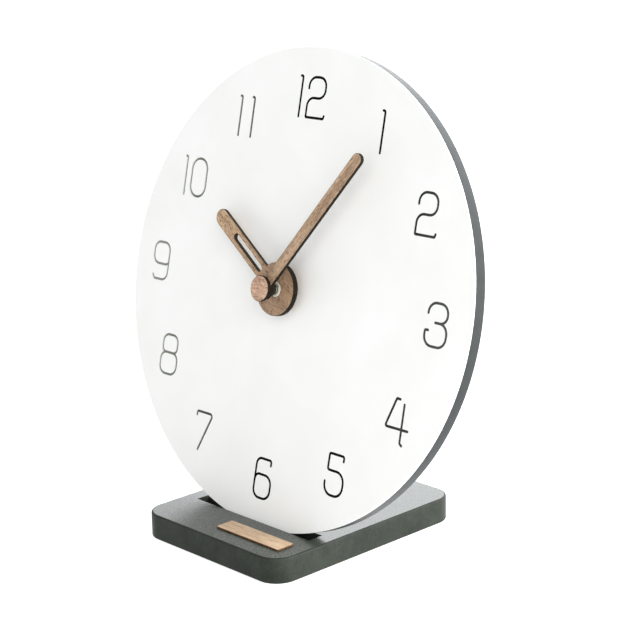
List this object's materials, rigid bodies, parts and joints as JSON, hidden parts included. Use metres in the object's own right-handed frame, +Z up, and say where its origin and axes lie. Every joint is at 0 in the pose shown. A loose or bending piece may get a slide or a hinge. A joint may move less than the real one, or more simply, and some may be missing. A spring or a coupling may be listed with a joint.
{
  "type": "table clock",
  "caption": "Table clock with a round white dial on a dark board that leans back in a slot of a small base board, with wooden hands turned by a quartz movement.",
  "frame": {"origin": "on the surface that the clock stands on, at the middle of the whole width and depth", "axes": "+Z up, the dial looks towards -Y, +X towards its three o'clock side"},
  "size_m": [0.2, 0.1056, 0.204],
  "materials": {
    "base_board": "painted fibreboard, satin",
    "plaque_wood": "thin light veneer, oiled",
    "dial_board": "painted fibreboard edge, matt",
    "dial_face": "smooth white sheet, satin",
    "walnut": "oiled walnut with laser-cut dark edges",
    "pale_plastic": "moulded",
    "dark_plastic": "moulded",
    "clamp_brass": "turned",
    "gasket_rubber": "matt",
    "case_plastic": "moulded, finely textured",
    "wheel_plastic": "moulded acetal",
    "magnet": "sintered",
    "motor_steel": "punched sheet",
    "copper_wire": "enamelled copper winding",
    "circuit_laminate": "lacquered laminate",
    "crystal_metal": "drawn can",
    "chip_resin": "potting resin",
    "cell_wrap": "plain printed sleeve, no lettering",
    "contact_steel": "nickel-plated spring strip"
  },
  "bodies": {
    "root": {"base_plate": "base_board", "base_plaque": "plaque_wood", "dial_board": "dial_board", "dial_face": "dial_face", "rubber_gasket": "gasket_rubber", "shaft_washer": "clamp_brass", "shaft_nut": "clamp_brass", "threaded_bush": "clamp_brass", "movement_case": "case_plastic", "movement_cover": "case_plastic", "mid_plate": "wheel_plastic", "stator_plate": "motor_steel", "coil_core": "motor_steel", "coil_bobbin": "pale_plastic", "coil_winding": "copper_wire", "circuit_board": "circuit_laminate", "crystal_can": "crystal_metal", "control_chip": "chip_resin", "positive_contact": "contact_steel", "negative_contact": "contact_steel"},
    "minute_hand_body": {"minute_hand": "walnut", "minute_hand_collet": "dark_plastic", "hand_cap": "walnut", "minute_arbor": "clamp_brass"},
    "hour_hand_body": {"hour_hand": "walnut", "hour_hand_collet": "pale_plastic", "hour_wheel": "wheel_plastic"},
    "reduction_body": {"reduction_wheel": "wheel_plastic"},
    "set_knob_body": {"set_knob": "case_plastic"},
    "rotor_body": {"rotor_pinion": "wheel_plastic", "rotor_magnet": "magnet"},
    "intermediate_body": {"intermediate_wheel": "wheel_plastic"},
    "seconds_body": {"seconds_wheel": "wheel_plastic"},
    "third_body": {"third_wheel": "wheel_plastic"},
    "centre_body": {"centre_wheel": "wheel_plastic"},
    "cell_body": {"battery_cell": "cell_wrap"}
  },
  "joints": [
    {"name": "minute_hand_spin", "type": "hinge", "parent": "root", "child": "minute_hand_body", "pos_m": [0, -0.00627, 0.10644], "axis": [0, 0.9759, -0.2181], "continuous": true},
    {"name": "hour_hand_spin", "type": "hinge", "parent": "root", "child": "hour_hand_body", "pos_m": [0, -0.00627, 0.10644], "axis": [0, 0.9759, -0.2181], "continuous": true},
    {"name": "reduction_spin", "type": "hinge", "parent": "root", "child": "reduction_body", "pos_m": [-0.00328, 0.00331, 0.11355], "axis": [0, 0.9759, -0.2181], "continuous": true},
    {"name": "set_knob_spin", "type": "hinge", "parent": "root", "child": "set_knob_body", "pos_m": [-0.00495, 0.00538, 0.12277], "axis": [0, 0.9759, -0.2181], "continuous": true},
    {"name": "rotor_spin", "type": "hinge", "parent": "root", "child": "rotor_body", "pos_m": [0.01209, 0.00384, 0.11588], "axis": [0, 0.9759, -0.2181], "continuous": true},
    {"name": "intermediate_spin", "type": "hinge", "parent": "root", "child": "intermediate_body", "pos_m": [0.00825, 0.00238, 0.10939], "axis": [0, 0.9759, -0.2181], "continuous": true},
    {"name": "seconds_spin", "type": "hinge", "parent": "root", "child": "seconds_body", "pos_m": [0, -0.00627, 0.10644], "axis": [0, 0.9759, -0.2181], "continuous": true},
    {"name": "third_spin", "type": "hinge", "parent": "root", "child": "third_body", "pos_m": [-0.00717, 0.00266, 0.11062], "axis": [0, 0.9759, -0.2181], "continuous": true},
    {"name": "centre_spin", "type": "hinge", "parent": "root", "child": "centre_body", "pos_m": [0, -0.00627, 0.10644], "axis": [0, 0.9759, -0.2181], "continuous": true},
    {"name": "cell_slide", "type": "slide", "parent": "root", "child": "cell_body", "axis": [0, 0.9759, -0.2181], "range_m": [0, 0.018]}
  ],
  "couplings": [
    {"joint": "hour_hand_spin", "follows": "minute_hand_spin", "ratio": 0.083333},
    {"joint": "reduction_spin", "follows": "minute_hand_spin", "ratio": -0.33333},
    {"joint": "set_knob_spin", "follows": "minute_hand_spin", "ratio": 1},
    {"joint": "intermediate_spin", "follows": "rotor_spin", "ratio": -0.2},
    {"joint": "seconds_spin", "follows": "rotor_spin", "ratio": 0.033333},
    {"joint": "third_spin", "follows": "rotor_spin", "ratio": -0.0044444},
    {"joint": "centre_spin", "follows": "rotor_spin", "ratio": 0.00055556}
  ]
}
